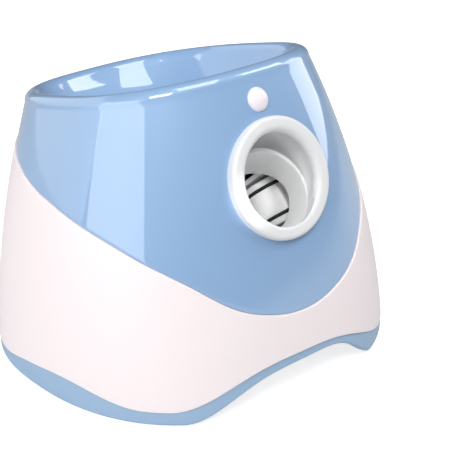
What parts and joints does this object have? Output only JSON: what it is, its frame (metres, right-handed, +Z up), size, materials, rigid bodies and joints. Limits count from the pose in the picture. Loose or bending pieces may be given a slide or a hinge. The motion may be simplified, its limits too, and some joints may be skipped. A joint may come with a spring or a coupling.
{
  "type": "automatic dog ball launcher",
  "caption": "Rounded blue and white automatic ball launcher for small dogs: open hopper on top, tilted round nozzle in front with a pair of throwing rollers behind it.",
  "frame": {"origin": "on the ground, under the middle of the object's bounding box", "axes": "+Z up; the nozzle faces -Y and the rear panel +Y; +X is to the right of someone who looks at the nozzle"},
  "size_m": [0.2712, 0.2442, 0.2056],
  "materials": {
    "blue_gloss": "gloss",
    "blue_satin": "satin",
    "white_satin": "satin",
    "nozzle_white": "satin",
    "barrel_grey": "satin",
    "frame_grey": "matte",
    "drum_white": "satin",
    "black_rubber": "matte",
    "steel": "brushed",
    "brass": "satin",
    "nylon": "satin",
    "board": "gloss",
    "cell": "satin"
  },
  "bodies": {
    "casing": {"upper_shell": "blue_gloss", "hopper_bowl": "blue_gloss", "lower_shell": "white_satin", "base_band": "blue_satin", "base_plate": "frame_grey", "foot_pad_front_left": "black_rubber", "foot_pad_front_right": "black_rubber", "foot_pad_rear_left": "black_rubber", "foot_pad_rear_right": "black_rubber", "base_screw_front_left": "steel", "base_screw_front_right": "steel", "base_screw_rear_left": "steel", "base_screw_rear_right": "steel", "nozzle_ring": "nozzle_white", "barrel_left": "barrel_grey", "barrel_right": "barrel_grey", "roller_bush_left": "brass", "roller_bush_right": "brass", "roller_motor_left": "steel", "roller_motor_right": "steel", "roller_bracket_left": "frame_grey", "roller_bracket_right": "frame_grey", "bracket_leg_left": "frame_grey", "bracket_leg_right": "frame_grey", "feed_motor": "steel", "feed_bracket_left": "frame_grey", "feed_bracket_right": "frame_grey", "battery_box": "frame_grey", "battery_cell_1": "cell", "battery_cell_2": "cell", "battery_cell_3": "cell", "battery_cell_4": "cell", "battery_cell_5": "cell", "battery_cell_6": "cell", "battery_contact_left": "brass", "battery_contact_right": "brass", "main_board": "board", "pir_lens": "white_satin", "pir_board": "board", "control_bezel": "nozzle_white", "led_lens_1": "white_satin", "led_lens_2": "white_satin", "led_lens_3": "white_satin", "control_board": "board", "dc_jack": "black_rubber"},
    "roller_left": {"roller_drum_left": "drum_white", "roller_ring_upper_left": "black_rubber", "roller_ring_lower_left": "black_rubber", "roller_shaft_left": "steel"},
    "roller_right": {"roller_drum_right": "drum_white", "roller_ring_upper_right": "black_rubber", "roller_ring_lower_right": "black_rubber", "roller_shaft_right": "steel"},
    "feed_wheel": {"feed_rotor": "nylon", "feed_shaft": "steel", "feed_gear": "nylon"},
    "feed_drive": {"feed_pinion": "brass"},
    "power_button": {"power_button": "frame_grey"},
    "battery_door": {"battery_door": "frame_grey"}
  },
  "joints": [
    {"name": "roller_left_spin", "type": "hinge", "parent": "casing", "child": "roller_left", "pos_m": [-0.045, -0.04254, 0.09644], "axis": [0, 0.6691, 0.7431], "continuous": true},
    {"name": "roller_right_spin", "type": "hinge", "parent": "casing", "child": "roller_right", "pos_m": [0.045, -0.04254, 0.09644], "axis": [0, 0.6691, 0.7431], "continuous": true},
    {"name": "feed_wheel_spin", "type": "hinge", "parent": "casing", "child": "feed_wheel", "pos_m": [0, 0.055, 0.094], "axis": [1, 0, 0], "continuous": true},
    {"name": "feed_drive_spin", "type": "hinge", "parent": "casing", "child": "feed_drive", "pos_m": [0, 0.08143, 0.08438], "axis": [1, 0, 0], "continuous": true},
    {"name": "power_button_press", "type": "slide", "parent": "casing", "child": "power_button", "axis": [0, -1, 0], "range_m": [0, 0.0015], "stiffness_N_per_m": 500},
    {"name": "battery_door_slide", "type": "slide", "parent": "casing", "child": "battery_door", "axis": [0, -1, 0], "range_m": [0, 0.012]}
  ],
  "couplings": [
    {"joint": "feed_drive_spin", "follows": "feed_wheel_spin", "ratio": -2}
  ]
}
